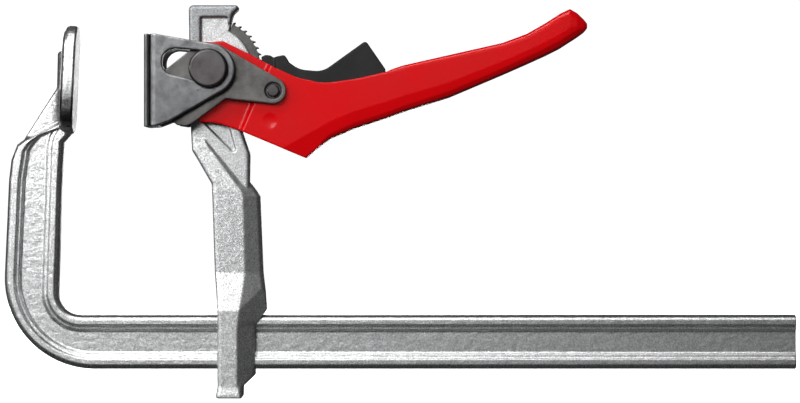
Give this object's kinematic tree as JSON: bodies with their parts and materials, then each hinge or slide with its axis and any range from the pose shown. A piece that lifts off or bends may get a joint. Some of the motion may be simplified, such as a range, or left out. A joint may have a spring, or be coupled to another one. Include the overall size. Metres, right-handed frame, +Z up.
{
  "type": "lever clamp",
  "caption": "All-steel lever clamp: forged rail with fixed jaw, sliding arm, ratchet hand lever with release trigger, cam-driven pressure shoe.",
  "frame": {"origin": "centre of the fixed jaw's clamping face, in the mid-plane", "axes": "+X along the rail from the fixed jaw towards the free end, +Z up from the rail towards the jaws, +Y across the thickness, away from the viewed side"},
  "size_m": [0.3285, 0.0392, 0.1627],
  "materials": {
    "forged_steel": "drop forged, zinc plated, fine satin grain",
    "dark_steel": "hardened and blackened",
    "plain_steel": "plain turned steel",
    "pin_steel": "phosphated, satin",
    "red_lever": "gloss powder coat",
    "cam_steel": "phosphated plate, satin",
    "black_plastic": "glass-filled nylon, satin",
    "shoe_steel": "stamped, satin zinc"
  },
  "bodies": {
    "rail": {"clamp_rail": "forged_steel"},
    "arm": {"slide_arm": "forged_steel", "ratchet_segment": "dark_steel", "ratchet_pins": "plain_steel", "main_pivot_pin": "pin_steel", "main_pin_collar": "pin_steel", "head_washer_near": "plain_steel", "head_washer_far": "plain_steel"},
    "lever": {"lever_shell": "red_lever", "cam_plate_near": "cam_steel", "cam_plate_far": "cam_steel", "cam_spacer_near": "plain_steel", "cam_spacer_far": "plain_steel", "trigger_rivet": "pin_steel", "trigger_rivet_collar": "pin_steel", "trigger_spacer": "plain_steel", "trigger_spring": "plain_steel"},
    "trigger_body": {"trigger": "black_plastic", "pawl": "dark_steel", "pawl_pin": "plain_steel"},
    "shoe": {"pressure_shoe": "shoe_steel", "pressure_pad": "shoe_steel", "pad_rivets": "plain_steel"}
  },
  "joints": [
    {"name": "arm_slide", "type": "slide", "parent": "rail", "child": "arm", "axis": [1, 0, 0], "range_m": [-0.025, 0.219]},
    {"name": "lever_swing", "type": "hinge", "parent": "arm", "child": "lever", "pos_m": [0.0557, 0, 0.0044], "axis": [0, 1, 0], "range_deg": [-45, 22.5]},
    {"name": "shoe_slide", "type": "slide", "parent": "arm", "child": "shoe", "axis": [1, 0, 0], "range_m": [-0.00236, 0.00472]},
    {"name": "trigger_press", "type": "hinge", "parent": "lever", "child": "trigger_body", "pos_m": [0.0823, 0, -0.0048], "axis": [0, 1, 0], "range_deg": [-4.4, 8], "stiffness_Nm_per_rad": 0.6, "springref_deg": -4.4}
  ],
  "couplings": [
    {"joint": "shoe_slide", "follows": "lever_swing", "m_per_rad": -0.006}
  ]
}
